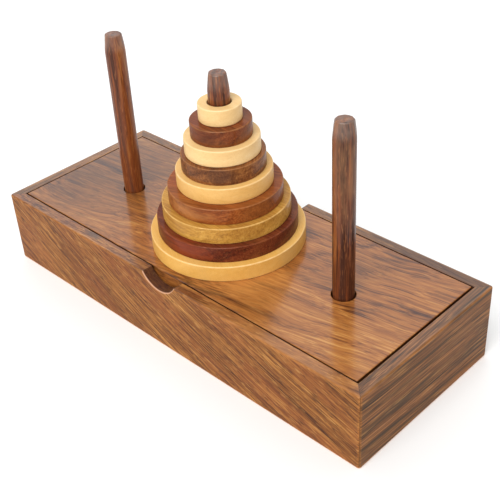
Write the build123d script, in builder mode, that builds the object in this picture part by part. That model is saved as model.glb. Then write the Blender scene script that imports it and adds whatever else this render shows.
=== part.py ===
from build123d import *
import os

# A disc-stacking puzzle on a wooden storage box. Millimetres, +Z up, +X along the box.
# The box stands on Z = 0 with its middle over the origin, and its front faces -Y.

# Storage box: four mitred walls
box_length = 280.0
box_width = 111.0
box_height = 47.5
wall = 7.2
corner_round = 1.6  # upright outside corners
rim_round = 0.9  # outside edge round the top, notches included
rim_inner_round = 0.4
foot_round = 1.3  # outside edge round the bottom

# Finger notches, scooped out of the rim in the middle of the front and of the back
notch_width = 25.0
notch_depth = 7.2
notch_shoulder = 2.0  # where the scoop turns into the rim

# Bottom panel, let into a rebate round the foot of the walls
panel_thickness = 4.0
panel_lip = 3.2  # how far the panel reaches under each wall
panel_gap = 0.1  # glue gap round the panel's edge

# Lid rests, a batten inside each end wall
rest_thickness = 8.0

# Lid, dropped in flush with the rim. It lies a little towards the left and the back.
lid_thickness = 15.0
lid_left_gap = 0.5
lid_right_gap = 1.3
lid_front_gap = 0.8
lid_back_gap = 0.5
lid_edge_round = 0.5
socket_floor_left = 3.0  # board left under each peg

# Pegs
peg_diameter = 12.0
peg_clearance = 0.6  # all round, in the lid and in the discs
peg_free_end = 16.5  # how far a peg stands above the full stack
tip_length = 11.0  # the rounded-in stretch at the top
tip_flat = 9.4  # diameter of the flat on top of the tip, before its edge is rounded
tip_round = 1.2
peg_foot_chamfer = 0.6

# Discs, smallest first
disc_diameters = [24.0, 34.0, 42.0, 47.0, 54.0, 64.5, 72.5, 79.8, 88.4]
disc_thickness = 9.5
disc_round = 0.9
hole_round = 0.5
neighbour_gap = 0.4  # between the two largest discs when they lie on neighbouring pegs

# What follows from the sizes above
inner_length = box_length - 2 * wall
inner_width = box_width - 2 * wall
lid_underside = box_height - lid_thickness
socket_floor = lid_underside + socket_floor_left
hole_radius = peg_diameter / 2 + peg_clearance
stack_top = box_height + disc_thickness * len(disc_diameters)
peg_top = stack_top + peg_free_end
peg_spacing = (disc_diameters[-1] + disc_diameters[-2]) / 2 + neighbour_gap
notch_radius = (notch_depth**2 + (notch_width / 2) ** 2) / (2 * notch_depth)


def rim_edges(part, inset, slack):
    """The edges along the rim and the notches that lie at one distance in from the outside."""

    def on_that_face(edge):
        middle = edge.center()
        from_outside = min(box_length / 2 - abs(middle.X), box_width / 2 - abs(middle.Y))
        above_notch_floor = edge.bounding_box().min.Z > box_height - notch_depth - slack
        return above_notch_floor and abs(from_outside - inset) < slack

    return part.edges().filter_by(on_that_face)


def wall_ring():
    """All four walls in one piece, with the panel rebate and the notches, before the mitres."""
    with BuildPart() as ring:
        with BuildSketch():
            RectangleRounded(box_length, box_width, corner_round)
        extrude(amount=box_height)
        foot = ring.faces().sort_by(Axis.Z)[0].edges()
        fillet(foot, radius=foot_round)
        with BuildSketch():
            Rectangle(inner_length, inner_width)
        extrude(amount=box_height, mode=Mode.SUBTRACT)
        with BuildSketch():
            Rectangle(inner_length + 2 * panel_lip, inner_width + 2 * panel_lip)
        extrude(amount=panel_thickness, mode=Mode.SUBTRACT)
        with BuildSketch(Plane.XZ) as scoop:
            with Locations((0, box_height - notch_depth + notch_radius)):
                Circle(notch_radius)
            with Locations((0, box_height)):
                Rectangle(2 * notch_width, notch_width, align=(Align.CENTER, Align.MIN))
            shoulders = scoop.vertices().filter_by(
                lambda corner: abs(corner.Z - box_height) < 0.01 and abs(corner.X) < notch_width * 0.6
            )
            fillet(shoulders, radius=notch_shoulder)
        extrude(amount=box_width, both=True, mode=Mode.SUBTRACT)
        fillet(rim_edges(ring, inset=0, slack=corner_round / 2), radius=rim_round)
        fillet(rim_edges(ring, inset=wall, slack=0.1), radius=rim_inner_round)
    return ring.part


def mitred_wall(ring, label, outline):
    """One wall: the part of the ring that stands over the outline between its two mitres."""
    with BuildPart() as piece:
        add(ring)
        with BuildSketch():
            with BuildLine():
                Polyline(*outline, close=True)
            make_face()
        extrude(amount=box_height, mode=Mode.INTERSECT)
    piece.part.label = label
    return piece.part


def box_walls():
    """The four walls. Each mitre runs in at 45 degrees from an outside corner."""
    ring = wall_ring()
    x, y = box_length / 2, box_width / 2
    mitre_left, mitre_right = (y - x, 0), (x - y, 0)
    return [
        mitred_wall(ring, "front_wall", [(-x, -y), (x, -y), mitre_right, mitre_left]),
        mitred_wall(ring, "back_wall", [(x, y), (-x, y), mitre_left, mitre_right]),
        mitred_wall(ring, "left_end_wall", [(-x, y), (-x, -y), mitre_left]),
        mitred_wall(ring, "right_end_wall", [(x, -y), (x, y), mitre_right]),
    ]


def bottom_panel():
    """Thin board glued up into the rebate, level with the foot of the walls."""
    lip = panel_lip - panel_gap
    with BuildPart() as panel:
        with BuildSketch():
            Rectangle(inner_length + 2 * lip, inner_width + 2 * lip)
        extrude(amount=panel_thickness)
    panel.part.label = "bottom_panel"
    return panel.part


def lid_rest(label, side):
    """Batten that fills the space between floor and lid at one end. side is -1 or +1 along X."""
    with BuildPart() as rest:
        with BuildSketch(Plane.XY.offset(panel_thickness)):
            with Locations((side * (inner_length - rest_thickness) / 2, 0)):
                Rectangle(rest_thickness, inner_width)
        extrude(amount=lid_underside - panel_thickness)
    rest.part.label = label
    return rest.part


def lid():
    """Solid board with three blind sockets for the pegs."""
    length = inner_length - lid_left_gap - lid_right_gap
    width = inner_width - lid_front_gap - lid_back_gap
    middle = ((lid_left_gap - lid_right_gap) / 2, (lid_front_gap - lid_back_gap) / 2)
    with BuildPart() as board:
        with BuildSketch(Plane.XY.offset(lid_underside)):
            with Locations(middle):
                Rectangle(length, width)
        extrude(amount=lid_thickness)
        fillet(board.edges(), radius=lid_edge_round)
        with Locations(*[(x, 0, box_height) for x in (-peg_spacing, 0, peg_spacing)]):
            Hole(hole_radius, depth=box_height - socket_floor)
        mouths = board.edges().filter_by(GeomType.CIRCLE).group_by(Axis.Z)[-1]
        fillet(mouths, radius=lid_edge_round)
    board.part.label = "lid"
    return board.part


def peg(label, x):
    """Turned dowel that stands in its socket, with its tip rounded in to a small flat."""
    radius = peg_diameter / 2
    shoulder = (radius, peg_top - tip_length)
    tip_edge = (tip_flat / 2, peg_top)
    with BuildPart() as dowel:
        with BuildSketch(Plane.XZ.shift_origin((x, 0, 0))):
            with BuildLine():
                Polyline((0, peg_top), (0, socket_floor), (radius, socket_floor), shoulder)
                TangentArc(shoulder, tip_edge, tangent=(0, 1))
                Line(tip_edge, (0, peg_top))
            make_face()
        revolve(axis=Axis((x, 0, 0), (0, 0, 1)))
        rings = dowel.edges().filter_by(GeomType.CIRCLE).sort_by(Axis.Z)
        fillet(rings[-1], radius=tip_round)
        foot = dowel.edges().filter_by(GeomType.CIRCLE).sort_by(Axis.Z)[0]
        chamfer(foot, length=peg_foot_chamfer)
    dowel.part.label = label
    return dowel.part


def disc(number, diameter):
    """Turned ring. Number 1 is the smallest and lies on top of the stack."""
    seat = stack_top - disc_thickness * number
    with BuildPart() as ring:
        with BuildSketch(Plane.XY.offset(seat)):
            Circle(diameter / 2)
            Circle(hole_radius, mode=Mode.SUBTRACT)
        extrude(amount=disc_thickness)
        rims = ring.edges().filter_by(GeomType.CIRCLE).group_by(SortBy.RADIUS)
        fillet(rims[-1], radius=disc_round)
        fillet(rims[0], radius=hole_round)
    ring.part.label = f"disc_{number}"
    return ring.part


pieces = [
    *box_walls(),
    bottom_panel(),
    lid_rest("left_lid_rest", -1),
    lid_rest("right_lid_rest", 1),
    lid(),
    peg("left_peg", -peg_spacing),
    peg("middle_peg", 0),
    peg("right_peg", peg_spacing),
    *[disc(number, diameter) for number, diameter in enumerate(disc_diameters, start=1)],
]

os.makedirs("parts", exist_ok=True)
for piece in pieces:
    export_step(piece, f"parts/{piece.label}.step")
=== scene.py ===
from math import cos, radians, sin
import bpy
import numpy as np
from mathutils import Matrix, Vector


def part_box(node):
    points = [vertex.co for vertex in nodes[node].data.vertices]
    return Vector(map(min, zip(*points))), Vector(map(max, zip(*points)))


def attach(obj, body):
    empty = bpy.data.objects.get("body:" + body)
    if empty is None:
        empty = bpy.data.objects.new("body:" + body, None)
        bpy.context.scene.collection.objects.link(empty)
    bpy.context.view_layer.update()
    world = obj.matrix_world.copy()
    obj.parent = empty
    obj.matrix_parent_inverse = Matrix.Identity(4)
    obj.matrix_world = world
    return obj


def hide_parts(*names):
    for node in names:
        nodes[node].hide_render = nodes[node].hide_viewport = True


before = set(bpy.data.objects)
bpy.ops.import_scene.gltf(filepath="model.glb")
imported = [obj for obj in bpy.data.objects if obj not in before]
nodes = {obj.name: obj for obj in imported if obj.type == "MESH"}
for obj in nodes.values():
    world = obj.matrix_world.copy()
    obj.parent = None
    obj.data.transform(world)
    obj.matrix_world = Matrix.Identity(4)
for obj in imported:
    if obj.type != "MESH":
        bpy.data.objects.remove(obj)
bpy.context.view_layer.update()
boxLow, boxHigh = (Vector(corner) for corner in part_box("front_wall"))  # it has the box's whole height
boxLow.x, boxHigh.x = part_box("left_end_wall")[0].x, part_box("right_end_wall")[1].x
boxHigh.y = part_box("back_wall")[1].y
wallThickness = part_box("left_end_wall")[1].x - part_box("left_end_wall")[0].x
millimetre = 0.001
rimSkin = 0.4  # how far under the rim's top a point still counts as on it, in mm
notch = {"width": 25.0, "depth": 7.2}  # the finger notches scooped from the rim, in mm
notchRadius = (notch["depth"] ** 2 + (notch["width"] / 2) ** 2) / (2 * notch["depth"])
print("frame loaded:", len(nodes), "nodes")


def linearColour(hexCode):
    # sRGB hex to linear: c/12.92 near black, ((c+0.055)/1.055)^2.4 above it
    parts = np.array([int(hexCode[i:i + 2], 16) for i in (1, 3, 5)]) / 255
    linear = np.where(parts <= 0.04045, parts / 12.92, ((parts + 0.055) / 1.055) ** 2.4)
    return (*linear.tolist(), 1.0)


def addNode(tree, kind, values=None, links=None, **settings):
    # one node: its settings, the numbers on its sockets, and what is plugged into it
    node = tree.nodes.new(kind)
    for key, value in settings.items():
        setattr(node, key, value)
    for socket, value in (values or {}).items():
        node.inputs[socket].default_value = value
    for socket, source in (links or {}).items():
        tree.links.new(source, node.inputs[socket])
    return node


def fillRamp(ramp, stops):
    # stops is a list of (place, hex colour)
    elements = ramp.color_ramp.elements
    while len(elements) > 1:
        elements.remove(elements[-1])
    elements[0].position, elements[0].color = stops[0][0], linearColour(stops[0][1])
    for place, colour in stops[1:]:
        elements.new(place).color = linearColour(colour)


# What every wood has unless its own look says otherwise. Lengths are millimetres of real wood.
plainWood = {
    "heart": (0.0, 0.06, -0.09),  # where the tree's heart runs, in metres
    "turn": (0.0, 0.0, 0.0),  # degrees that turn the grain away from X
    "rimTurn": None,  # the same on the rim of the box, which was planed to another slope
    "sweep": 0.0,  # how much the grain curves along its length, per mm
    "wander": (90, 35, 4.0),  # slow wander of the grain: its length, its width and how far it goes
    "band": (220, 7.0, 0.20),  # growth rings: length, width and share of the tone
    "streak": (75, 1.9, 0.24),  # darker and lighter streaks
    "fibre": (22, 0.60, 0.42),  # real fibres are finer: these are as coarse as they need to be to show
    "pore": (7, 0.50, 0.60),  # open pores cut lengthwise, drawn twice as wide as the real 0.2 mm
    "fleck": (6.0, 0.60, 0.50),  # short bright dashes where the light catches the fibres
    "patch": (70, 20, 0.35),  # broad stretches of another shade
    "stops": [(0.05, "#4a2c16"), (0.24, "#68421f"), (0.50, "#86572b"), (0.76, "#9e6c39"), (0.95, "#b68348")],
    "patchColour": "#8a5528",
    "poreColour": "#3a2112",
    "fleckColour": "#bf8c4e",
    "rough": (0.38, 0.52),
    "shine": 0.22,  # specular level of the wood under its finish
    "coat": 0.0, "coatRough": 0.2,
    "coatWhere": None,  # function that gives the coat's share, for a piece lacquered only in places
    "bump": 0.25,
    "wornAndHighlight": 0.0,  # how much lighter the edges are painted, for worn finish and for the highlight they catch
    "wornAndHighlightColour": "#a87440",
    "edges": None,  # the low and high corner of the block whose edges are painted lighter
    "shades": [],  # (function that gives a share from 0 to 1, colour laid over by that share)
    "stainsAndPaintedLight": [],  # (middle, size, colour, share) of each patch, its places in metres: stains, and painted highlight, shade and reflection
}


def grainPlaces(tree, look, spot):
    # Turns a point of the piece into grain lengths: X runs along the grain in mm. Slow noise pushes
    # it sideways by about reach at most (times 3, as centred noise stays within a third of 0), and a
    # parabola bends the grain: z + sweep * x^2.
    sources = {"Vector": spot}
    turn = tuple(radians(angle) for angle in look["turn"])
    if look["rimTurn"]:
        rimTurn = tuple(radians(angle) for angle in look["rimTurn"])
        height = addNode(tree, "ShaderNodeSeparateXYZ", None, {0: spot}).outputs["Z"]
        raised = addNode(tree, "ShaderNodeMath", {1: boxHigh.z - rimSkin * millimetre}, {0: height},
                         operation="GREATER_THAN")
        sources["Rotation"] = addNode(tree, "ShaderNodeMix", {4: turn, 5: rimTurn}, {0: raised.outputs[0]},
                                      data_type="VECTOR").outputs[1]
    grain = addNode(tree, "ShaderNodeMapping",
                    {"Location": look["heart"], "Rotation": turn, "Scale": (millimetre,) * 3}, sources,
                    vector_type="TEXTURE")
    long, wide, reach = look["wander"]
    slow = addNode(tree, "ShaderNodeVectorMath", {1: (1 / long, 1 / wide, 1 / wide)}, {0: grain.outputs[0]},
                   operation="MULTIPLY")
    drift = addNode(tree, "ShaderNodeTexNoise", {"Scale": 1.0, "Detail": 2.0, "Roughness": 0.45},
                    {"Vector": slow.outputs[0]})
    centred = addNode(tree, "ShaderNodeVectorMath", {1: (0.5, 0.5, 0.5)}, {0: drift.outputs["Color"]},
                      operation="SUBTRACT")
    pushed = addNode(tree, "ShaderNodeVectorMath", {1: (0, 3 * reach, 3 * reach)},
                     {0: centred.outputs[0], 2: grain.outputs[0]}, operation="MULTIPLY_ADD")
    along = addNode(tree, "ShaderNodeSeparateXYZ", None, {0: grain.outputs[0]})
    square = addNode(tree, "ShaderNodeMath", None, {0: along.outputs["X"], 1: along.outputs["X"]},
                     operation="MULTIPLY")
    lift = addNode(tree, "ShaderNodeMath", {1: look["sweep"]}, {0: square.outputs[0]}, operation="MULTIPLY")
    bend = addNode(tree, "ShaderNodeCombineXYZ", None, {"Z": lift.outputs[0]})
    return addNode(tree, "ShaderNodeVectorMath", None, {0: pushed.outputs[0], 1: bend.outputs[0]},
                   operation="ADD").outputs[0]


def drawnNoise(tree, places, size, detail):
    # noise stretched along the grain: long mm by wide mm
    long, wide = size[:2]
    drawn = addNode(tree, "ShaderNodeVectorMath", {1: (1 / long, 1 / wide, 1 / wide)}, {0: places},
                    operation="MULTIPLY")
    return addNode(tree, "ShaderNodeTexNoise", {"Scale": 1.0, "Detail": detail, "Roughness": 0.6},
                   {"Vector": drawn.outputs[0]}).outputs["Fac"]


def ringNoise(tree, places, size):
    # noise of the distance from the heart, so that the bands follow the growth rings
    long, wide = size[:2]
    across = addNode(tree, "ShaderNodeVectorMath", {1: (0, 1, 1)}, {0: places}, operation="MULTIPLY")
    ring = addNode(tree, "ShaderNodeVectorMath", None, {0: across.outputs[0]}, operation="LENGTH")
    along = addNode(tree, "ShaderNodeSeparateXYZ", None, {0: places})
    placeX = addNode(tree, "ShaderNodeMath", {1: long}, {0: along.outputs["X"]}, operation="DIVIDE")
    placeR = addNode(tree, "ShaderNodeMath", {1: wide}, {0: ring.outputs["Value"]}, operation="DIVIDE")
    place = addNode(tree, "ShaderNodeCombineXYZ", None, {"X": placeX.outputs[0], "Y": placeR.outputs[0]})
    return addNode(tree, "ShaderNodeTexNoise",
                   {"Scale": 1.0, "Detail": 3.0, "Roughness": 0.55, "Distortion": 0.2},
                   {"Vector": place.outputs[0]}).outputs["Fac"]


# Shades that fade with distance: where each is full and where it is gone, in mm, and its full share.
shadeReach = {
    "wornAndHighlightEdge": (0.4, 2.2, 1.0),  # from an edge of a block
    "lidGapShadeTop": (0.4, 0.2, 0.85),  # under the lid's top
    "lidGapShadeFoot": (1.5, 4.5, 1.0),  # under the lid's top
    "lidGapShadeEnd": (0.0, 2.0, 1.0),  # from where a notch starts, towards its middle
    "wallGapShade": (0.3, 3.0, 0.85),  # under the rim
    "wallInside": (0.05, 0.15, 1.0),  # from a wall's inner face, into the wall
    "notchHollowShade": (0.1, 0.6, 0.72),  # from the scoop's surface
    "notchLipHighlight": (0.35, 0.8, 0.75),  # from the scoop's surface and the outer face
    "rimTop": (0.1, rimSkin, 0.9),  # under the rim
    "footEdgeHighlight": (0.5, 1.5, 0.65),  # up from the floor
    "mitreLine": (0.1, 0.5, 0.5),  # from the joint
}


def fadeOut(shadeName, start=0.0, way=1):
    # the numbers of a ramp from a shade's full share down to 0, going one way or the other from start
    full, gone, share = shadeReach[shadeName]
    return {"From Min": start + way * full * millimetre, "From Max": start + way * gone * millimetre,
            "To Min": share, "To Max": 0.0}


def blockEdges(tree, spot, low, high):
    # 1 on the edges of a block, falling to 0 about 2 mm away: on its surface one distance to a side
    # is nothing, and near an edge the sum of the two smallest is nothing too
    fromLow = addNode(tree, "ShaderNodeVectorMath", {1: low}, {0: spot}, operation="SUBTRACT")
    fromHigh = addNode(tree, "ShaderNodeVectorMath", {0: high}, {1: spot}, operation="SUBTRACT")
    nearest = addNode(tree, "ShaderNodeVectorMath", None, {0: fromLow.outputs[0], 1: fromHigh.outputs[0]},
                      operation="MINIMUM")
    parts = addNode(tree, "ShaderNodeSeparateXYZ", None, {0: nearest.outputs[0]})
    total = addNode(tree, "ShaderNodeVectorMath", {1: (1, 1, 1)}, {0: nearest.outputs[0]},
                    operation="DOT_PRODUCT")
    wider = addNode(tree, "ShaderNodeMath", None, {0: parts.outputs["X"], 1: parts.outputs["Y"]},
                    operation="MAXIMUM")
    widest = addNode(tree, "ShaderNodeMath", None, {0: wider.outputs[0], 1: parts.outputs["Z"]},
                     operation="MAXIMUM")
    twoSmallest = addNode(tree, "ShaderNodeMath", None, {0: total.outputs["Value"], 1: widest.outputs[0]},
                          operation="SUBTRACT")
    return addNode(tree, "ShaderNodeMapRange", fadeOut("wornAndHighlightEdge"), {"Value": twoSmallest.outputs[0]},
                   interpolation_type="SMOOTHSTEP").outputs[0]


def lidGapShade(tree, spot):
    # Painted shade in the gap: a dark band on the lid's side, from 0.4 mm to about 3 mm under its top.
    # It is the product of three ramps, on the depth, on its far end and on the way out of a notch.
    parts = addNode(tree, "ShaderNodeSeparateXYZ", None, {0: spot})
    aside = addNode(tree, "ShaderNodeMath", None, {0: parts.outputs["X"]}, operation="ABSOLUTE")
    covered = addNode(tree, "ShaderNodeMapRange", fadeOut("lidGapShadeEnd", notch["width"] / 2 * millimetre, -1),
                      {"Value": aside.outputs[0]})
    below = addNode(tree, "ShaderNodeMapRange", fadeOut("lidGapShadeTop", boxHigh.z, -1),
                    {"Value": parts.outputs["Z"]})
    above = addNode(tree, "ShaderNodeMapRange", fadeOut("lidGapShadeFoot", boxHigh.z, -1),
                    {"Value": parts.outputs["Z"]})
    band = addNode(tree, "ShaderNodeMath", None, {0: below.outputs[0], 1: above.outputs[0]},
                   operation="MULTIPLY")
    return addNode(tree, "ShaderNodeMath", None, {0: covered.outputs[0], 1: band.outputs[0]},
                   operation="MULTIPLY").outputs[0]


def wallGapShade(tree, spot):
    # Painted shade on the walls' inside edge, by the gap, as on the lid: full where the distance in from the
    # outside reaches the wall's thickness, and faded out 3 mm under the rim.
    away = addNode(tree, "ShaderNodeVectorMath", None, {0: spot}, operation="ABSOLUTE")
    fromOutside = addNode(tree, "ShaderNodeVectorMath", {0: tuple(boxHigh)}, {1: away.outputs[0]},
                          operation="SUBTRACT")
    depths = addNode(tree, "ShaderNodeSeparateXYZ", None, {0: fromOutside.outputs[0]})
    depth = addNode(tree, "ShaderNodeMath", None, {0: depths.outputs["X"], 1: depths.outputs["Y"]},
                    operation="MINIMUM")
    inside = addNode(tree, "ShaderNodeMapRange", fadeOut("wallInside", wallThickness, -1),
                     {"Value": depth.outputs[0]})
    below = addNode(tree, "ShaderNodeMapRange", fadeOut("wallGapShade"), {"Value": depths.outputs["Z"]})
    return addNode(tree, "ShaderNodeMath", None, {0: inside.outputs[0], 1: below.outputs[0]},
                   operation="MULTIPLY").outputs[0]


def fromScoop(tree, spot):
    # how far a point of a wall lies from a finger notch's surface: its distance from the scoop's
    # axis, which runs along Y, less the scoop's radius
    axis = (0.0, 0.0, boxHigh.z + (notchRadius - notch["depth"]) * millimetre)
    fromAxis = addNode(tree, "ShaderNodeVectorMath", {1: axis}, {0: spot}, operation="SUBTRACT")
    across = addNode(tree, "ShaderNodeVectorMath", {1: (1, 0, 1)}, {0: fromAxis.outputs[0]},
                     operation="MULTIPLY")
    distance = addNode(tree, "ShaderNodeVectorMath", None, {0: across.outputs[0]}, operation="LENGTH")
    return addNode(tree, "ShaderNodeMath", {1: notchRadius * millimetre}, {0: distance.outputs["Value"]},
                   operation="SUBTRACT").outputs[0]


def notchHollowShade(tree, spot):
    # painted shade on the scooped surface of a notch
    return addNode(tree, "ShaderNodeMapRange", fadeOut("notchHollowShade"),
                   {"Value": fromScoop(tree, spot)}).outputs[0]


def notchLipHighlight(tree, spot):
    # a painted highlight on the eased outer edge of a notch: near the scoop and near the outside both at once
    away = addNode(tree, "ShaderNodeVectorMath", None, {0: spot}, operation="ABSOLUTE")
    aside = addNode(tree, "ShaderNodeSeparateXYZ", None, {0: away.outputs[0]}).outputs["Y"]
    inward = addNode(tree, "ShaderNodeMath", {0: boxHigh.y}, {1: aside}, operation="SUBTRACT")
    farther = addNode(tree, "ShaderNodeMath", None, {0: inward.outputs[0], 1: fromScoop(tree, spot)},
                      operation="MAXIMUM")
    return addNode(tree, "ShaderNodeMapRange", fadeOut("notchLipHighlight"), {"Value": farther.outputs[0]}).outputs[0]


def rimTop(tree, spot):
    # the rim's flat top got the lid's lacquer: the share steps up to the lid's just under it
    height = addNode(tree, "ShaderNodeSeparateXYZ", None, {0: spot}).outputs["Z"]
    return addNode(tree, "ShaderNodeMapRange", fadeOut("rimTop", boxHigh.z, -1), {"Value": height}).outputs[0]


def footEdgeHighlight(tree, spot):
    # a painted highlight along the eased edge round the foot: the share fades out going up
    height = addNode(tree, "ShaderNodeSeparateXYZ", None, {0: spot}).outputs["Z"]
    return addNode(tree, "ShaderNodeMapRange", fadeOut("footEdgeHighlight"), {"Value": height}).outputs[0]


def mitreLine(tree, spot):
    # a thin dark glue line where |x| - |y| is what it is at the outside corner
    away = addNode(tree, "ShaderNodeVectorMath", None, {0: spot}, operation="ABSOLUTE")
    parts = addNode(tree, "ShaderNodeSeparateXYZ", None, {0: away.outputs[0]})
    offset = addNode(tree, "ShaderNodeMath", None, {0: parts.outputs["X"], 1: parts.outputs["Y"]},
                     operation="SUBTRACT")
    gap = addNode(tree, "ShaderNodeMath", {1: boxHigh.x - boxHigh.y}, {0: offset.outputs[0]},
                  operation="SUBTRACT")
    line = addNode(tree, "ShaderNodeMath", None, {0: gap.outputs[0]}, operation="ABSOLUTE")
    return addNode(tree, "ShaderNodeMapRange", fadeOut("mitreLine"), {"Value": line.outputs[0]}).outputs[0]


stainAndLightRagged = 1.6  # how strongly noise moves a patch's border in and out


def stainAndPaintedLightShare(tree, spot, places, middle, size, most):
    # a patch, stain or painted light alike: most at its middle and 0 where its stretched distance, made
    # ragged by noise, passes 1
    centred = addNode(tree, "ShaderNodeMapping", {"Location": middle, "Scale": size}, {"Vector": spot},
                      vector_type="TEXTURE")
    distance = addNode(tree, "ShaderNodeVectorMath", None, {0: centred.outputs[0]}, operation="LENGTH")
    ragged = addNode(tree, "ShaderNodeMath", {1: stainAndLightRagged, 2: -stainAndLightRagged / 2},
                     {0: drawnNoise(tree, places, (14, 2.5), 3.0)}, operation="MULTIPLY_ADD")
    reach = addNode(tree, "ShaderNodeMath", None, {0: distance.outputs["Value"], 1: ragged.outputs[0]},
                    operation="ADD")
    return addNode(tree, "ShaderNodeMapRange",
                   {"From Min": 0.2, "From Max": 1.0, "To Min": most, "To Max": 0.0},
                   {"Value": reach.outputs[0]}, interpolation_type="SMOOTHSTEP").outputs[0]


def woodMaterial(name, look):
    # A solid block of wood: the pattern is a function of the point in space, so it runs through
    # every face of a piece and shows long grain, end grain and arches where real wood does.
    look = {**plainWood, **look}
    material = bpy.data.materials.new(name)
    material.use_nodes = True
    tree = material.node_tree
    tree.nodes.clear()
    spot = addNode(tree, "ShaderNodeTexCoord").outputs["Object"]
    places = grainPlaces(tree, look, spot)

    # tone: rings, streaks and fibres, each centred on nothing, added to the middle of the ramp. Noise
    # keeps within about a quarter of its middle, so it is stretched by four to fill its share.
    stretch = 4
    fibre = drawnNoise(tree, places, look["fibre"], 2.0)
    noises = [(ringNoise(tree, places, look["band"]), look["band"][2]),
              (drawnNoise(tree, places, look["streak"], 3.0), look["streak"][2]), (fibre, look["fibre"][2])]
    start = 0.5 - stretch / 2 * sum(share for noise, share in noises)
    links = {}
    for noise, share in noises:
        links = {0: noise, **links}
        tone = addNode(tree, "ShaderNodeMath", {1: stretch * share, 2: start}, links,
                       operation="MULTIPLY_ADD")
        links = {2: tone.outputs[0]}
    ramp = addNode(tree, "ShaderNodeValToRGB", None, {"Fac": tone.outputs[0]})
    fillRamp(ramp, look["stops"])

    layers = []  # (share from 0 to 1, colour) laid over the ramp's colour in this order
    for kind, low, high in (("patch", 0.46, 0.66), ("fleck", 0.58, 0.74), ("pore", 0.57, 0.70)):
        share = addNode(tree, "ShaderNodeMapRange",
                        {"From Min": low, "From Max": high, "To Max": look[kind][2]},
                        {"Value": drawnNoise(tree, places, look[kind], 1.0)}, interpolation_type="SMOOTHSTEP")
        layers.append((share.outputs[0], look[kind + "Colour"]))
    pores = layers[-1][0]
    for middle, size, stainAndLightColour, most in look["stainsAndPaintedLight"]:
        layers.append((stainAndPaintedLightShare(tree, spot, places, middle, size, most), stainAndLightColour))

    # Edges painted lighter: worn finish, and a painted highlight where rounded edges catch the light
    if look["edges"]:
        if look["edges"] == "attribute":
            wornAndHighlight = addNode(tree, "ShaderNodeAttribute", attribute_name="edge").outputs["Fac"]
        else:
            wornAndHighlight = blockEdges(tree, spot, *look["edges"])
        uneven = addNode(tree, "ShaderNodeMapRange", {"From Min": 0.35, "From Max": 0.65, "To Min": 0.4},
                         {"Value": drawnNoise(tree, places, (12, 3.0), 3.0)})
        rubbedAndLit = addNode(tree, "ShaderNodeMath", None, {0: wornAndHighlight, 1: uneven.outputs[0]}, operation="MULTIPLY")
        share = addNode(tree, "ShaderNodeMath", {1: look["wornAndHighlight"]}, {0: rubbedAndLit.outputs[0]},
                        operation="MULTIPLY")
        layers.append((share.outputs[0], look["wornAndHighlightColour"]))
    layers += [(share(tree, spot), shade) for share, shade in look["shades"]]

    colour = ramp.outputs["Color"]
    for share, shade in layers:
        colour = addNode(tree, "ShaderNodeMix", {7: linearColour(shade)}, {0: share, 6: colour},
                         data_type="RGBA").outputs[2]

    rough = addNode(tree, "ShaderNodeMapRange", {"To Min": look["rough"][0], "To Max": look["rough"][1]},
                    {"Value": fibre})
    height = addNode(tree, "ShaderNodeMath", {1: -1.0}, {0: pores, 2: fibre}, operation="MULTIPLY_ADD")
    bump = addNode(tree, "ShaderNodeBump", {"Strength": look["bump"], "Distance": 0.2 * millimetre},
                   {"Height": height.outputs[0]})
    sources = {"Base Color": colour, "Roughness": rough.outputs[0], "Normal": bump.outputs[0]}
    if look["coatWhere"]:
        sources["Coat Weight"] = look["coatWhere"](tree, spot)
    shader = addNode(tree, "ShaderNodeBsdfPrincipled",
                     {"IOR": 1.5, "Specular IOR Level": look["shine"], "Coat Weight": look["coat"],
                      "Coat Roughness": look["coatRough"], "Coat IOR": 1.5}, sources)
    addNode(tree, "ShaderNodeOutputMaterial", None, {"Surface": shader.outputs[0]})
    return material


def dress(nodeName, material):
    piece = nodes[nodeName]
    piece.data.materials.clear()
    piece.data.materials.append(material)


# Sheesham, oiled and waxed: warm orange-brown long grain with fine bright fibres and a soft gloss.
wallEdges = (tuple(boxLow), tuple(boxHigh))
wallLook = {
    # the edges are painted lighter: wear, with a painted highlight on the eased edges
    "edges": wallEdges, "wornAndHighlight": 0.35, "wornAndHighlightColour": "#c08048", "shine": 0.12,
    "coatWhere": rimTop, "coatRough": 0.17,
    "wander": (160, 60, 2.6), "band": (400, 8.0, 0.20), "streak": (170, 2.2, 0.19), "fibre": (34, 0.95, 0.48),
    "fleck": (8, 0.8, 0.6), "pore": (6, 0.7, 0.7),
    # dark glue lines at the mitres, painted highlight on the foot's edge and the notches' lips, painted shade
    # in the notches' hollows and along the walls' inside edge by the gap
    "shades": [(mitreLine, "#3a2112"), (footEdgeHighlight, "#d68f45"), (notchHollowShade, "#3a231f"),
               (notchLipHighlight, "#d9a685"), (wallGapShade, "#2b110a")],
}
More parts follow.
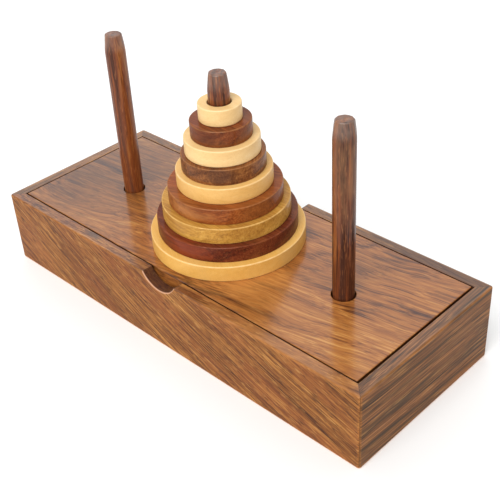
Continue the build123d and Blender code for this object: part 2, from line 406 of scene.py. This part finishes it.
wallLooks = {
    "front_wall": {"turn": (0, 21.5, 0), "rimTurn": (0, 0, 4), "heart": (0.0, 0.03, -0.05), "sweep": -0.00045,
                   "stops": [(0.05, "#3d210e"), (0.27, "#673a1a"), (0.50, "#855124"), (0.73, "#9d6631"),
                             (0.95, "#b98243")],
                   "patchColour": "#8f4f2a",
                   "stainsAndPaintedLight": [((-0.064, -0.0502, boxHigh.z), (0.011, 0.003, 0.003), "#3d3735", 0.6),
                               ((0.09, -0.052, boxHigh.z), (0.085, 0.008, 0.0016), "#b87a42", 0.45)]},
    "back_wall": {"turn": (0, -14, 0), "rimTurn": (0, 0, -3), "heart": (0.02, -0.04, -0.06), "sweep": 0.0003,
                  "stainsAndPaintedLight": [((0.11, boxHigh.y, 0.045), (0.085, 0.03, 0.03), "#412318", 0.7)]},
    "right_end_wall": {"turn": (0, 3, 90), "heart": (0.05, 0.0, -0.05), "band": (300, 3.2, 0.30),
                       "streak": (200, 1.6, 0.27), "fibre": (60, 0.9, 0.42), "fleck": (20, 0.9, 0.35),
                       "pore": (14, 0.8, 0.5), "patch": (160, 5, 0.45),
                       "patchColour": "#4a371e",
                       "stops": [(0.05, "#2f1e0d"), (0.26, "#4d321a"), (0.50, "#6e4422"), (0.74, "#8d592f"),
                                 (0.95, "#a06e42")]},
    "left_end_wall": {"turn": (0, -2, 90), "heart": (-0.04, 0.0, -0.05), "band": (260, 4.5, 0.26)},
}
for wallName, look in wallLooks.items():
    dress(wallName, woodMaterial("oiledSheesham_" + wallName, {**wallLook, **look}))

# The lid is the same wood under a glossier coat of lacquer, which mirrors the pegs and the sky.
lidLook = {
    "turn": (0, 0, 9), "heart": (0.0, 0.015, -0.025), "wander": (75, 32, 6.5),
    "band": (220, 6.5, 0.38), "streak": (160, 2.2, 0.27), "fibre": (26, 0.9, 0.26), "pore": (9, 0.7, 0.35),
    "stops": [(0.05, "#4a230f"), (0.26, "#70401b"), (0.48, "#9a5c28"), (0.74, "#b17234"), (0.95, "#c88f4c")],
    "patchColour": "#a0642a", "fleckColour": "#c88f4e", "fleck": (12, 0.8, 0.3),
    # the lid's side gets a band of painted shade where it sits in the gap
    "coat": 0.9, "coatRough": 0.17, "shine": 0.15, "shades": [(lidGapShade, "#2b110a")],
    # a paler orange patch in front of the stack is a painted reflection of the discs; the dark stretch at the
    # left end is darker wood
    "stainsAndPaintedLight": [((0.030, -0.020, boxHigh.z), (0.050, 0.030, 0.02), "#cf8d49", 0.40),
                ((-0.135, 0.01, boxHigh.z), (0.13, 0.09, 0.05), "#251713", 0.42)],
}
dress("lid", woodMaterial("lacqueredSheeshamLid", lidLook))

# The pieces inside are sawn and left bare, so they are paler and dull.
innerLook = {
    "stops": [(0.1, "#6b4a2a"), (0.5, "#96703f"), (0.9, "#b38a58")],
    "rough": (0.6, 0.75), "shine": 0.3,
}
innerWood = woodMaterial("bareSawnWood", innerLook)
for nodeName in ("bottom_panel", "left_lid_rest", "right_lid_rest"):
    dress(nodeName, innerWood)
print("box and lid dressed")


def gridPiece(name, points, edge, capped):
    # A surface from a grid of points, rows by columns. Columns close on themselves. Rows close on
    # themselves too, or, if capped, the first and the last row shrink to a pole of one vertex.
    rows, columns = points.shape[:2]
    index = np.arange(rows * columns).reshape(rows, columns)
    upper = index[1:] if capped else np.roll(index, -1, axis=0)
    lower = index[:-1] if capped else index
    quads = np.stack([lower, np.roll(lower, -1, 1), np.roll(upper, -1, 1), upper], axis=-1).reshape(-1, 4)
    vertices, edge = points.reshape(-1, 3), edge.reshape(-1)
    faces = quads.tolist()
    if capped:
        poles = points[[0, -1]].mean(axis=1)
        vertices, edge = np.vstack([vertices, poles]), np.append(edge, [0, 0])
        foot, top = len(vertices) - 2, len(vertices) - 1
        first, last = index[0], index[-1]
        faces += np.stack([np.full(columns, foot), np.roll(first, -1), first], axis=-1).tolist()
        faces += np.stack([np.full(columns, top), last, np.roll(last, -1)], axis=-1).tolist()
    mesh = bpy.data.meshes.new(name)
    mesh.from_pydata(vertices.tolist(), [], faces)
    mesh.polygons.foreach_set("use_smooth", np.ones(len(mesh.polygons), dtype=bool))
    mesh.attributes.new("edge", "FLOAT", "POINT").data.foreach_set("value", edge.astype(np.float32))
    piece = bpy.data.objects.new(name, mesh)
    bpy.context.scene.collection.objects.link(piece)
    return piece


def handWave(around, seed, depth):
    # a closed, uneven wave from 0 to depth: five harmonics of seeded size and phase, over their sum
    chance = np.random.default_rng(seed)
    size, phase = chance.uniform(0.3, 1.0, 5), chance.uniform(0, 2 * np.pi, 5)
    harmonics = np.arange(1, 6)[:, None]
    wave = (size[:, None] / harmonics * np.cos(harmonics * around + phase[:, None])).sum(0)
    return depth * (0.5 + 0.5 * wave / (size / harmonics[:, 0]).sum())


def standsFor(piece, nodeName, material):
    # a turned piece takes over from the plain node, on the same body
    piece.data.materials.append(material)
    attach(piece, nodeName)
    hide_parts(nodeName)


around = np.linspace(0, 2 * np.pi, 160, endpoint=False)

# Rosewood dowel, turned, polished and lacquered: dark streaks run its whole length.
pegLook = {
    "turn": (0, 90, 0), "heart": (0.03, 0.02, 0.0), "wander": (80, 12, 1.2),
    "band": (190, 3.2, 0.42), "streak": (110, 1.5, 0.38), "fibre": (18, 0.6, 0.20),
    "stops": [(0.05, "#34170d"), (0.24, "#4e2a1b"), (0.42, "#673722"), (0.56, "#7c3f1e"), (0.74, "#8f5429"),
              (0.95, "#a4703f")],
    "stainsAndPaintedLight": [((0.0845, 0.0, 0.046), (0.012, 0.012, 0.046), "#45200f", 0.6),
                ((0.0845, 0.0, 0.122), (0.012, 0.012, 0.038), "#a8794f", 0.3)],
    "patchColour": "#80441d", "fleckColour": "#a0643a", "poreColour": "#2a150b", "pore": (7, 0.5, 0.4),
    "coat": 0.4, "coatRough": 0.16, "shine": 0.08, "bump": 0.3,
    "edges": "attribute", "wornAndHighlight": 0.7, "wornAndHighlightColour": "#928278",
}
pegShape = {
    "tipLength": 11.0, "tipFlat": 9.9, "tipRound": 1.0, "footChamfer": 0.6,
    "facets": 9,  # the tip was cut in by hand with a knife before it was sanded
    "facetShare": 0.6,  # how much of a facet the sanding left
    "facetStart": 0.6,  # share of the tip over which the facets grow to full size
    "facetSkew": 0.10,  # how uneven the facets' widths are, in radians
    "uneven": 0.10,  # how far the round body falls short of true
    "tipUneven": 0.25,  # and how much farther the tip does
    "tipWorn": 0.55,  # the tip was cut after the polishing, so it is paler all over
}


def turnedPeg(nodeName, seed):
    # Radius against height: a straight body, then the arc R - rho + sqrt(rho^2 - h^2) over the tip,
    # where rho = (tipLength^2 + inset^2) / (2 inset), and a quarter round at the top. On the tip the
    # circle turns into a flat-sided ring: radius times cos(pi/n) / cos(angle past the facet's middle).
    low, high = (np.array(corner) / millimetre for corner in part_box(nodeName))
    middleX, middleY = (low + high)[:2] / 2
    radius = (high - low)[0] / 2
    shape = pegShape
    inset = radius - shape["tipFlat"] / 2
    rho = (shape["tipLength"] ** 2 + inset ** 2) / (2 * inset)
    roundBase = shape["tipLength"] - shape["tipRound"]
    body = np.linspace(low[2] + shape["footChamfer"], high[2] - shape["tipLength"], 30)
    climb = np.linspace(0, roundBase, 16)[1:]
    arc = radius - rho + np.sqrt(rho ** 2 - climb ** 2)
    turn = np.linspace(0, np.pi / 2, 8)[1:]
    roundMiddle = arc[-1] - shape["tipRound"]
    topRadius = roundMiddle + shape["tipRound"] * np.cos(turn)
    topHeight = high[2] - shape["tipRound"] * (1 - np.sin(turn))
    footRing = radius - shape["footChamfer"]
    footRows = np.array([radius / 2, footRing - 0.1, footRing])  # the flat underneath
    topRows = roundMiddle * np.array([0.95, 0.6, 0.3])  # the flat on top
    radii = np.concatenate([footRows, [radius] * len(body), arc, topRadius, topRows])
    heights = np.concatenate([np.full_like(footRows, low[2]), body, high[2] - shape["tipLength"] + climb,
                              topHeight, np.full_like(topRows, high[2])])

    chance = np.random.default_rng(seed)
    facet = 2 * np.pi / shape["facets"]
    lobes = np.sin(2 * around + chance.uniform(0, 6))
    skewed = around + shape["facetSkew"] * lobes + chance.uniform(0, facet)
    flatSided = np.cos(facet / 2) / np.cos(skewed % facet - facet / 2)
    grown = (heights - high[2] + shape["tipLength"]) / (shape["facetStart"] * shape["tipLength"])
    onTip = np.clip(grown, 0, 1)[:, None]
    onTip = onTip ** 2 * (3 - 2 * onTip)
    dents = handWave(around, seed, shape["uneven"]) + handWave(around, seed + 50, shape["tipUneven"]) * onTip
    cut = 1 + onTip * shape["facetShare"] * (flatSided - 1)
    spread = radii[:, None] * cut - dents * (radii[:, None] / radius)
    points = np.stack([middleX + spread * np.cos(around), middleY + spread * np.sin(around),
                       np.broadcast_to(heights[:, None], spread.shape)], axis=-1) * millimetre
    edge = shape["tipWorn"] * onTip[:, 0]
    rounded = slice(-len(turn) - len(topRows), -len(topRows))
    edge[rounded] = np.maximum(edge[rounded], np.sin(2 * turn))
    return gridPiece("turned_" + nodeName, points, np.broadcast_to(edge[:, None], spread.shape), capped=True)


pegWood = woodMaterial("polishedRosewoodPeg", pegLook)
for seed, nodeName in enumerate(("left_peg", "middle_peg", "right_peg"), start=11):
    standsFor(turnedPeg(nodeName, seed), nodeName, pegWood)
print("pegs turned")

# Discs: pale ones of haldu and dark ones of sheesham, turned, then sanded smooth by hand, so their grain is
# soft and only their rims catch the light. Their rims' edges are painted lighter: a painted highlight
# together with wear.
paleWood = {
    "band": (200, 6.0, 0.14), "streak": (60, 2.5, 0.10), "fibre": (6, 0.5, 0.10), "pore": (2.0, 0.5, 0.14),
    "fleck": (5.0, 0.5, 0.12), "poreColour": "#a5743c", "fleckColour": "#f0d59c", "patchColour": "#dcae68",
    "coat": 0.12, "coatRough": 0.3, "rough": (0.45, 0.6), "shine": 0.3, "bump": 0.12,
    "edges": "attribute", "wornAndHighlight": 0.35, "wornAndHighlightColour": "#fbe8c2",
}
darkWood = {
    "coat": 0.2, "coatRough": 0.12, "shine": 0.08, "band": (160, 5.0, 0.24), "streak": (60, 2.6, 0.17),
    "fibre": (20, 0.9, 0.24), "fleck": (6.0, 0.6, 0.14), "pore": (5, 0.6, 0.24), "bump": 0.12,
    "edges": "attribute", "wornAndHighlight": 0.55, "wornAndHighlightColour": "#b07a4c",
}
creamStops = [(0.1, "#dfb474"), (0.5, "#f0ca8c"), (0.9, "#f8daa6")]
yellowStops = [(0.1, "#d09a46"), (0.5, "#e4b062"), (0.9, "#eec47c")]


def onRim(nodeName, compass, low=0.5):
    # the point on a disc's rim at a compass angle, degrees from X towards Y, and a share of its height
    corner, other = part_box(nodeName)
    radius = (other.x - corner.x) / 2
    height = corner.z + low * (other.z - corner.z)
    return (radius * cos(radians(compass)), radius * sin(radians(compass)), height)


discLooks = {
    1: {**paleWood, "stops": creamStops, "heart": (0.0, 0.03, 0.05)},
    2: {**darkWood, "stops": [(0.1, "#451b0b"), (0.5, "#753a1c"), (0.9, "#925029")],
        # a darker patch a little left of the front: painted shade
        "stainsAndPaintedLight": [(onRim("disc_2", -70), (0.012, 0.012, 0.006), "#4a2416", 0.5)]},
    3: {**paleWood, "stops": creamStops, "heart": (0.02, 0.04, 0.0), "turn": (0, 0, 40)},
    4: {**darkWood, "stops": [(0.1, "#3a1e0d"), (0.5, "#784625"), (0.9, "#a46c3c")], "turn": (0, 0, -45),
        "stainsAndPaintedLight": [(onRim("disc_4", -47), (0.016, 0.012, 0.008), "#4b2a1b", 0.7)]},
    5: {**paleWood, "stops": yellowStops, "turn": (0, 0, 70)},
    6: {**darkWood, "stops": [(0.1, "#4f200a"), (0.5, "#86431b"), (0.9, "#ae642e")], "turn": (0, 0, 20),
        # disc 6: a paler tan patch at the front left is a painted highlight
        "stainsAndPaintedLight": [(onRim("disc_6", -85), (0.020, 0.014, 0.006), "#b9793f", 0.5)]},
    7: {**darkWood, "stops": [(0.1, "#8a5a22"), (0.5, "#c08b3b"), (0.9, "#dcac56")], "fleckColour": "#e0b468",
        "fibre": (20, 0.9, 0.2), "pore": (6, 0.6, 0.4), "poreColour": "#7d4e1f", "wornAndHighlightColour": "#f0c880"},
    8: {**darkWood, "stops": [(0.1, "#32110a"), (0.5, "#642a17"), (0.9, "#864425")], "wornAndHighlightColour": "#8d4c2a",
        # a redder, paler patch at the front left: painted highlight
        "stainsAndPaintedLight": [(onRim("disc_8", -80), (0.022, 0.016, 0.008), "#8c3a1b", 0.6)]},
    9: {**paleWood, "stops": [(0.1, "#d19842"), (0.5, "#e4ad55"), (0.9, "#f0c371")], "turn": (0, 0, -30)},
}
discShape = {
    "clearance": 0.6, "rimRound": 0.9, "holeRound": 0.5,
    "uneven": 0.16,  # how far the rim falls short of true
    "leastRound": 0.55, "roundSpread": 0.35,  # hand sanding leaves between 0.55 and 0.9 of rimRound
    "holeWearAndHighlight": 0.6,  # the hole's edges are painted less light than the rim's, for wear and highlight alike
    "support": 0.25,  # how far beside a round the flat gets its own row, so that it shades flat
}


def turnedDisc(nodeName, seed):
    # A closed profile carried round the axis: down the hole's side, out along the underside, round
    # the rim and back over the top. Corners are quarter rounds. The rim's radius falls short of true
    # by an uneven wave, and another wave sets its round.
    low, high = (np.array(corner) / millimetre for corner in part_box(nodeName))
    middleX, middleY = (low + high)[:2] / 2
    pegLow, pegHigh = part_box("middle_peg")
    shape, support = discShape, discShape["support"]
    bore = (pegHigh.x - pegLow.x) / 2 / millimetre + shape["clearance"]
    rim = (high - low)[0] / 2 - handWave(around, seed, shape["uneven"])
    corner = shape["rimRound"] * (shape["leastRound"] + handWave(around, seed + 20, shape["roundSpread"]))
    hole = np.full_like(rim, shape["holeRound"])
    turn = np.linspace(0, np.pi / 2, 8)[:, None]
    holeTurn = np.linspace(0, np.pi / 2, 5)[:, None]
    holeEdge = shape["holeWearAndHighlight"] * np.sin(2 * holeTurn)
    level = np.ones_like(rim)
    middle = (low[2] + high[2]) / 2
    # rows of (radius, height, edge), one entry per column
    stretches = [
        (bore * level[None], middle * level[None], 0),
        (bore + hole * (1 - np.cos(holeTurn)), low[2] + hole * (1 - np.sin(holeTurn)), holeEdge),
        (bore + hole[None] + support, low[2] * level[None], 0),
        (rim[None] - corner - support, low[2] * level[None], 0),
        (rim - corner * (1 - np.sin(turn)), low[2] + corner * (1 - np.cos(turn)), np.sin(2 * turn)),
        (rim[None], low[2] + corner[None] + support, 0),
        (rim[None], middle * level[None], 0),
        (rim[None], high[2] - corner[None] - support, 0),
        (rim - corner * (1 - np.cos(turn)), high[2] - corner * (1 - np.sin(turn)), np.sin(2 * turn)),
        (rim[None] - corner - support, high[2] * level[None], 0),
        (bore + hole[None] + support, high[2] * level[None], 0),
        (bore + hole * (1 - np.sin(holeTurn)), high[2] - hole * (1 - np.cos(holeTurn)), holeEdge),
    ]
    spread, heights, edge = (np.concatenate([np.broadcast_to(stretch[part], stretch[0].shape)
                                             for stretch in stretches]) for part in range(3))
    points = np.stack([middleX + spread * np.cos(around), middleY + spread * np.sin(around), heights],
                      axis=-1)
    return gridPiece("turned_" + nodeName, points * millimetre, edge, capped=False)


for number, look in discLooks.items():
    nodeName = f"disc_{number}"
    standsFor(turnedDisc(nodeName, number), nodeName, woodMaterial(f"sandedWoodDisc{number}", look))
print("discs turned")

# A wide sheet of matte white paper, which takes soft shadows and has no shine
floorLook = {"size": 80.0, "colour": "#f7f7f6", "rough": 0.9}
half = floorLook["size"] / 2
floorMesh = bpy.data.meshes.new("floor")
floorCorners = [(-half, -half, 0), (half, -half, 0), (half, half, 0), (-half, half, 0)]
floorMesh.from_pydata(floorCorners, [], [(0, 1, 2, 3)])
floor = bpy.data.objects.new("floor", floorMesh)
bpy.context.scene.collection.objects.link(floor)
paper = bpy.data.materials.new("matteWhitePaper")
paper.use_nodes = True
paperShader = paper.node_tree.nodes["Principled BSDF"]
paperShader.inputs["Base Color"].default_value = linearColour(floorLook["colour"])
paperShader.inputs["Roughness"].default_value = floorLook["rough"]
floorMesh.materials.append(paper)

# The sky lights everything evenly, a wide soft sun stands in front, and a panel behind shines on the lid.
lightLook = {
    "sky": 0.52,
    "aim": Vector((0, 0, 0.05)),  # what both lamps point at
    "sun": {"from": (0.30, -0.78, 1.05), "angle": 50, "strength": 2.75},
    "panel": {"place": (-1.1, 1.1, 1.05), "size": 1.9, "power": 9, "colour": (0.86, 0.94, 1.0)},
}
world = bpy.data.worlds.new("studio")
world.use_nodes = True
sky = world.node_tree.nodes["Background"]
sky.inputs["Color"].default_value = (1, 1, 1, 1)
sky.inputs["Strength"].default_value = lightLook["sky"]
bpy.context.scene.world = world
sun = bpy.data.lights.new("sun", "SUN")
sun.angle = radians(lightLook["sun"]["angle"])
sun.energy = lightLook["sun"]["strength"]
panel = bpy.data.lights.new("panel", "AREA")
panel.shape = "SQUARE"
panel.size = lightLook["panel"]["size"]
panel.energy = lightLook["panel"]["power"]
panel.color = lightLook["panel"]["colour"]
for light, place in ((sun, lightLook["sun"]["from"]), (panel, lightLook["panel"]["place"])):
    lamp = bpy.data.objects.new(light.name, light)
    lamp.location = place
    lamp.rotation_euler = (lightLook["aim"] - lamp.location).to_track_quat("-Z", "Y").to_euler()
    bpy.context.scene.collection.objects.link(lamp)

# The camera looks down from the right end of the front, with lengths in mm and angles in degrees.
# back points from the object to it.
cameraLook = {"azimuth": 45.99, "elevation": 34.83, "roll": -3.55, "distance": 575.1, "slide": (9.4, 30.8),
              "lens": 68.57}
azimuth, elevation, roll = (radians(cameraLook[key]) for key in ("azimuth", "elevation", "roll"))
back = Vector((sin(azimuth) * cos(elevation), -cos(azimuth) * cos(elevation), sin(elevation)))
right = (-back).cross(Vector((0, 0, 1))).normalized()
up = right.cross(-back)
right, up = cos(roll) * right + sin(roll) * up, cos(roll) * up - sin(roll) * right
cameraData = bpy.data.cameras.new("camera")
cameraData.sensor_width = 36
cameraData.lens = cameraLook["lens"]
cameraData.clip_start = 0.01
camera = bpy.data.objects.new("camera", cameraData)
slideRight, slideUp = cameraLook["slide"]
place = (right * slideRight + up * slideUp + back * cameraLook["distance"]) * millimetre
camera.matrix_world = Matrix.Translation(place) @ Matrix((right, up, back)).transposed().to_4x4()
bpy.context.scene.collection.objects.link(camera)
bpy.context.scene.camera = camera
bpy.context.scene.view_settings.view_transform = "Standard"
print("floor, lights and camera placed")
